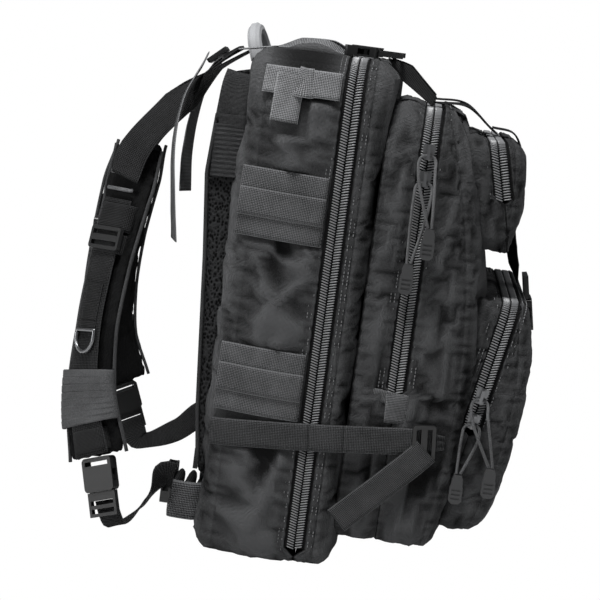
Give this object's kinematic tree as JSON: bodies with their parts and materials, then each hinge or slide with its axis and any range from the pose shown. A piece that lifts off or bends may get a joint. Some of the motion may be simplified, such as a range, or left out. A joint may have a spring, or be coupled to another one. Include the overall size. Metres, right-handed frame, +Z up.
{
  "type": "trauma backpack",
  "caption": "Upright fabric backpack for first responders: zipped clamshell main compartment, second compartment, front pockets, ladder webbing, padded shoulder straps and stowed belt.",
  "frame": {"origin": "middle of the rear half's flat base, which the pack stands on", "axes": "+X towards the wearer's right, +Y towards the wearer, +Z up"},
  "size_m": [0.3305, 0.4623, 0.4822],
  "materials": {
    "pack_fabric": "coated polyester weave",
    "webbing": "ribbed webbing",
    "dark_webbing": "ribbed webbing",
    "spacer_mesh": "air mesh",
    "elastic": "pleated elastic",
    "zip_coil": "nylon coil and tape",
    "buckle_plastic": "satin acetal",
    "dark_metal": "black enamel",
    "pull_cord": "braided cord",
    "grip_rubber": "moulded"
  },
  "bodies": {
    "rear": {"main_rear_shell": "pack_fabric", "back_pad": "spacer_mesh", "elastic_gussets": "elastic", "main_zip_rear": "zip_coil", "side_ladder_rows": "webbing", "body_straps": "webbing", "carry_handle": "webbing", "shoulder_pad_left": "pack_fabric", "shoulder_pad_right": "pack_fabric", "shoulder_webbing": "dark_webbing", "strap_adjusters": "buckle_plastic", "load_lifter_tails": "webbing", "strap_webbing": "webbing", "waist_belt": "webbing", "fixed_buckles": "buckle_plastic"},
    "front": {"main_front_shell": "pack_fabric", "main_zip_front": "zip_coil", "second_gusset": "pack_fabric", "second_zip_rear": "zip_coil", "y_strap_arms": "dark_webbing", "top_buckle_males": "buckle_plastic"},
    "second_front": {"second_front_shell": "pack_fabric", "second_zip_front": "zip_coil", "compression_straps": "webbing", "compression_locks": "buckle_plastic", "y_strap_yoke": "dark_webbing", "upper_pocket_shell": "pack_fabric", "lower_pocket_shell": "pack_fabric", "pocket_zips_rear": "zip_coil"},
    "upper_lid": {"upper_pocket_lid": "pack_fabric", "upper_lid_zip": "zip_coil", "y_strap_stem": "dark_webbing"},
    "lower_lid": {"lower_pocket_lid": "pack_fabric", "lower_lid_zip": "zip_coil", "front_ladder_rows": "webbing", "front_buckle_female": "buckle_plastic"},
    "front_male": {"front_buckle_male": "buckle_plastic"},
    "sternum_male": {"sternum_buckle_male": "buckle_plastic"},
    "strap_male_left": {"strap_buckle_male_left": "buckle_plastic"},
    "strap_male_right": {"strap_buckle_male_right": "buckle_plastic"},
    "d_ring_left": {"d_ring_left": "dark_metal"},
    "d_ring_right": {"d_ring_right": "dark_metal"},
    "main_slider": {"main_slider": "dark_metal"},
    "main_pull": {"main_pull_cord": "pull_cord", "main_pull_grip": "grip_rubber"},
    "second_upper_slider": {"second_upper_slider": "dark_metal"},
    "second_upper_pull": {"second_upper_pull_cord": "pull_cord", "second_upper_pull_grip": "grip_rubber"},
    "second_lower_slider": {"second_lower_slider": "dark_metal", "second_lower_pull_cord": "pull_cord", "second_lower_pull_grip": "grip_rubber"},
    "lower_upper_slider": {"lower_upper_slider": "dark_metal"},
    "lower_upper_pull": {"lower_upper_pull_cord": "pull_cord", "lower_upper_pull_grip": "grip_rubber"},
    "lower_lower_slider": {"lower_lower_slider": "dark_metal", "lower_lower_pull_cord": "pull_cord", "lower_lower_pull_grip": "grip_rubber"},
    "upper_slider": {"upper_slider": "dark_metal"},
    "upper_pull": {"upper_pull_cord": "pull_cord", "upper_pull_grip": "grip_rubber"}
  },
  "joints": [
    {"name": "main_flap", "type": "hinge", "parent": "rear", "child": "front", "pos_m": [0, -0.05, 0], "axis": [1, 0, 0], "range_deg": [0, 180]},
    {"name": "second_flap", "type": "hinge", "parent": "front", "child": "second_front", "pos_m": [0, -0.1215, 0.029], "axis": [1, 0, 0], "range_deg": [0, 15]},
    {"name": "upper_lid_fold", "type": "hinge", "parent": "second_front", "child": "upper_lid", "pos_m": [0, -0.21007, 0.354], "axis": [1, 0, 0], "range_deg": [0, 80]},
    {"name": "lower_lid_fold", "type": "hinge", "parent": "second_front", "child": "lower_lid", "pos_m": [0, -0.23446, 0.142], "axis": [1, 0, 0], "range_deg": [0, 70]},
    {"name": "front_buckle_release", "type": "slide", "parent": "lower_lid", "child": "front_male", "axis": [0, 0.1961, 0.9806], "range_m": [0, 0.02]},
    {"name": "sternum_release", "type": "slide", "parent": "rear", "child": "sternum_male", "axis": [1, 0, 0], "range_m": [0, 0.02]},
    {"name": "left_strap_release", "type": "slide", "parent": "rear", "child": "strap_male_left", "axis": [-0.2809, -0.2809, -0.9177], "range_m": [0, 0.02]},
    {"name": "right_strap_release", "type": "slide", "parent": "rear", "child": "strap_male_right", "axis": [0.1423, -0.3252, -0.9349], "range_m": [0, 0.02]},
    {"name": "left_d_ring_swing", "type": "hinge", "parent": "rear", "child": "d_ring_left", "pos_m": [-0.13272, 0.16432, 0.18866], "axis": [0.7012, 0.6871, -0.1903], "range_deg": [0, 120]},
    {"name": "right_d_ring_swing", "type": "hinge", "parent": "rear", "child": "d_ring_right", "pos_m": [0.12055, 0.19934, 0.18236], "axis": [0.7108, -0.6946, 0.1108], "range_deg": [0, 120]},
    {"name": "main_slide", "type": "slide", "parent": "front", "child": "main_slider", "axis": [0, 0, 1], "range_m": [-0.15, 0.1]},
    {"name": "main_pull_swing", "type": "hinge", "parent": "main_slider", "child": "main_pull", "pos_m": [0.14595, -0.05, 0.29705], "axis": [0, -1, 0], "range_deg": [0, 110]},
    {"name": "second_upper_slide", "type": "slide", "parent": "front", "child": "second_upper_slider", "axis": [0, 0, 1], "range_m": [-0.007, 0]},
    {"name": "second_upper_pull_swing", "type": "hinge", "parent": "second_upper_slider", "child": "second_upper_pull", "pos_m": [-0.13795, -0.1215, 0.38705], "axis": [0, 1, 0], "range_deg": [0, 110]},
    {"name": "second_lower_slide", "type": "slide", "parent": "front", "child": "second_lower_slider", "axis": [0, 0, 1], "range_m": [-0.11, 0.007]},
    {"name": "lower_upper_slide", "type": "slide", "parent": "second_front", "child": "lower_upper_slider", "axis": [0, -0.1736, 0.9848], "range_m": [-0.008, 0.07]},
    {"name": "lower_upper_pull_swing", "type": "hinge", "parent": "lower_upper_slider", "child": "lower_upper_pull", "pos_m": [-0.12795, -0.19884, 0.1751], "axis": [0, 1, 0], "range_deg": [0, 110]},
    {"name": "lower_lower_slide", "type": "slide", "parent": "second_front", "child": "lower_lower_slider", "axis": [0, -0.1736, 0.9848], "range_m": [-0.002, 0.008]},
    {"name": "upper_slide", "type": "slide", "parent": "second_front", "child": "upper_slider", "axis": [0, 0.2419, 0.9703], "range_m": [-0.018, 0.012]},
    {"name": "upper_pull_swing", "type": "hinge", "parent": "upper_slider", "child": "upper_pull", "pos_m": [0.11095, -0.18773, 0.37914], "axis": [0, -1, 0], "range_deg": [0, 110]}
  ]
}
